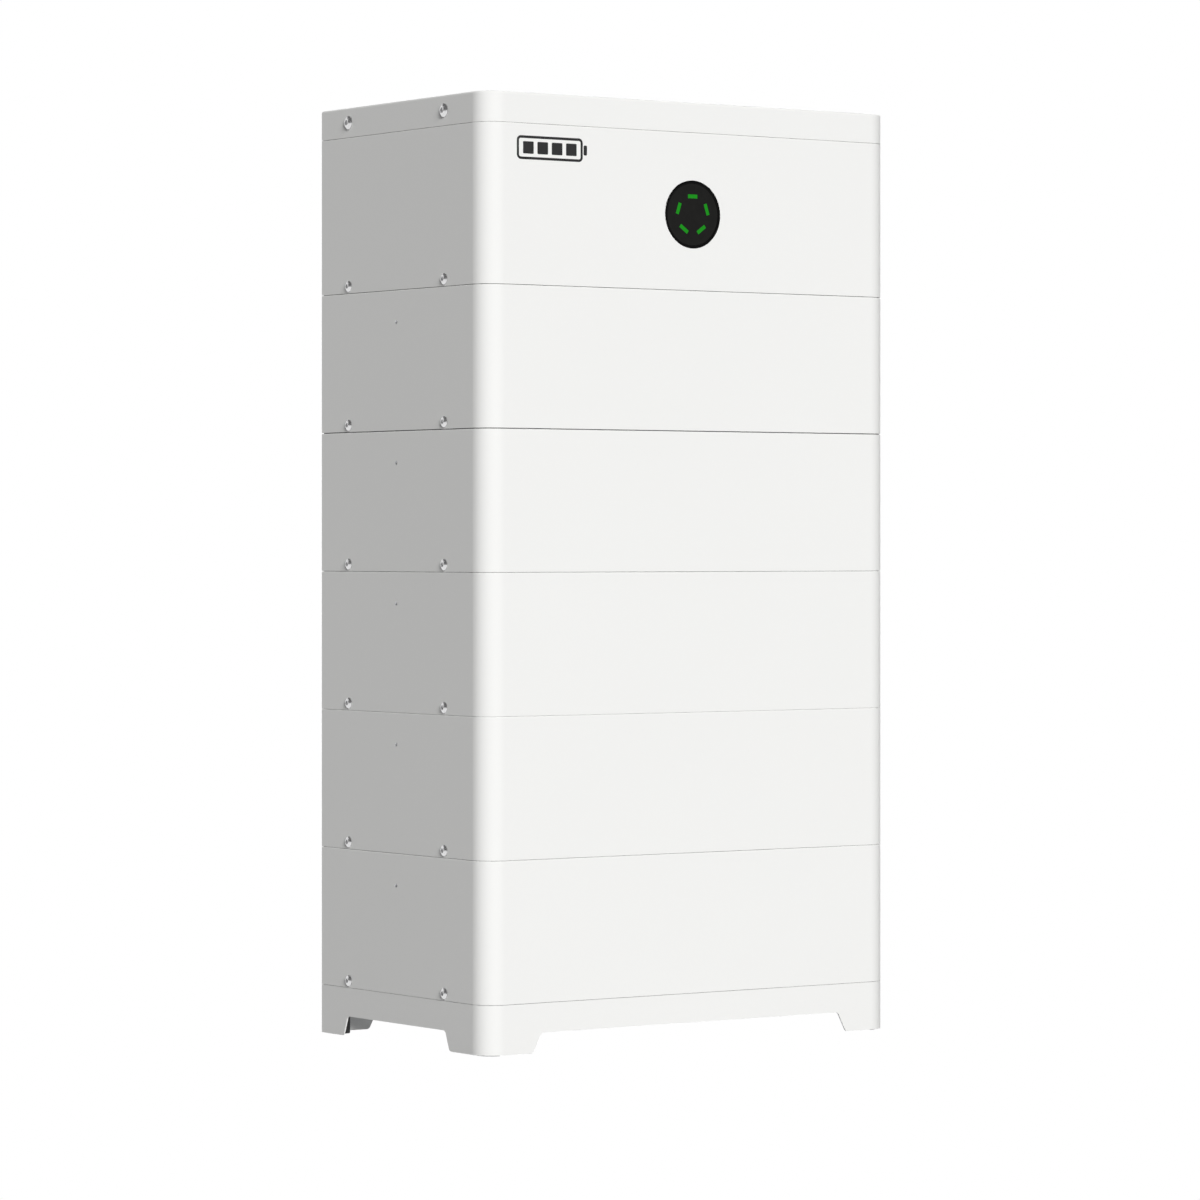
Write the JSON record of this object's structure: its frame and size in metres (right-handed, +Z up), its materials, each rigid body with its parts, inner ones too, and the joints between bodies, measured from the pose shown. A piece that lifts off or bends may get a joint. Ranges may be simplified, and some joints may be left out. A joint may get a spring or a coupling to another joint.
{
  "type": "stacked home battery tower",
  "caption": "Floor-standing home battery stack: base with feet, joined battery modules, control unit with a round indicator, side terminal bay and lid.",
  "frame": {"origin": "on the floor, under the middle of the whole box, wall rail included", "axes": "+X to the right seen from the front, +Y from the front towards the wall, +Z up"},
  "size_m": [0.5232, 0.3183, 0.9705],
  "materials": {
    "white_coat": "satin white powder coat",
    "zinc_plate": "zinc-plated steel sheet",
    "bright_steel": "stainless steel screw",
    "aluminium": "plain aluminium plate",
    "copper": "bare copper bar",
    "cell_film": "blue film on an aluminium can",
    "board": "green circuit board",
    "foam": "dark foam strip",
    "black_steel": "black zinc-plated steel",
    "black_gloss": "gloss black plastic",
    "dark_plastic": "dark moulded plastic",
    "bezel_black": "deep black ring round the indicator",
    "breaker_grey": "light grey moulded plastic",
    "smoked_clear": "smoked clear plastic",
    "green_light": "lit green diffuser",
    "lead_cover": "orange-red lead insulation"
  },
  "bodies": {
    "tower": {"module_1_cover": "white_coat", "module_1_back": "zinc_plate", "module_1_pan": "zinc_plate", "module_1_cells": "cell_film", "module_2_cover": "white_coat", "module_2_back": "zinc_plate", "module_2_pan": "zinc_plate", "module_2_cells": "cell_film", "module_3_cover": "white_coat", "module_3_back": "zinc_plate", "module_3_pan": "zinc_plate", "module_3_cells": "cell_film", "module_4_cover": "white_coat", "module_4_back": "zinc_plate", "module_4_pan": "zinc_plate", "module_4_cells": "cell_film", "module_5_cover": "white_coat", "module_5_back": "zinc_plate", "module_5_pan": "zinc_plate", "module_5_cells": "cell_film", "cell_busbars": "copper", "cell_clamps": "aluminium", "monitor_boards": "board", "stack_sockets": "dark_plastic", "stack_plugs": "dark_plastic", "corner_brackets": "black_steel", "stacking_screws": "bright_steel", "lid_screws": "bright_steel", "back_screws": "bright_steel", "hook_screws": "bright_steel", "seam_gaskets": "foam", "base_skirt": "white_coat", "base_deck": "zinc_plate", "base_feet": "dark_plastic", "indicator_bezel": "bezel_black", "indicator_lens": "black_gloss", "indicator_lights": "green_light", "indicator_board": "board", "control_cover": "white_coat", "control_back": "zinc_plate", "control_pan": "zinc_plate", "control_board": "board", "contactors": "dark_plastic", "fuse_link": "aluminium", "control_busbars": "copper", "power_leads": "lead_cover", "terminal_bay": "white_coat", "breaker_body": "breaker_grey", "flap_pin": "bright_steel", "button_housing": "dark_plastic", "dc_sockets": "dark_plastic", "comm_glands": "dark_plastic", "earth_stud": "bright_steel", "lid": "white_coat", "wall_rail": "zinc_plate", "wall_hooks": "zinc_plate"},
    "power_button": {"power_button": "dark_plastic"},
    "breaker_lever": {"breaker_lever": "dark_plastic"},
    "breaker_flap": {"breaker_flap": "smoked_clear"}
  },
  "joints": [
    {"name": "power_button_press", "type": "slide", "parent": "tower", "child": "power_button", "axis": [-1, 0, 0], "range_m": [0, 0.002], "stiffness_N_per_m": 500},
    {"name": "breaker_lever_turn", "type": "hinge", "parent": "tower", "child": "breaker_lever", "pos_m": [0.232, -0.02, 0.86], "axis": [0, 1, 0], "range_deg": [0, 80]},
    {"name": "breaker_flap_hinge", "type": "hinge", "parent": "tower", "child": "breaker_flap", "pos_m": [0.251, -0.02, 0.903], "axis": [0, -1, 0], "range_deg": [0, 95]}
  ]
}
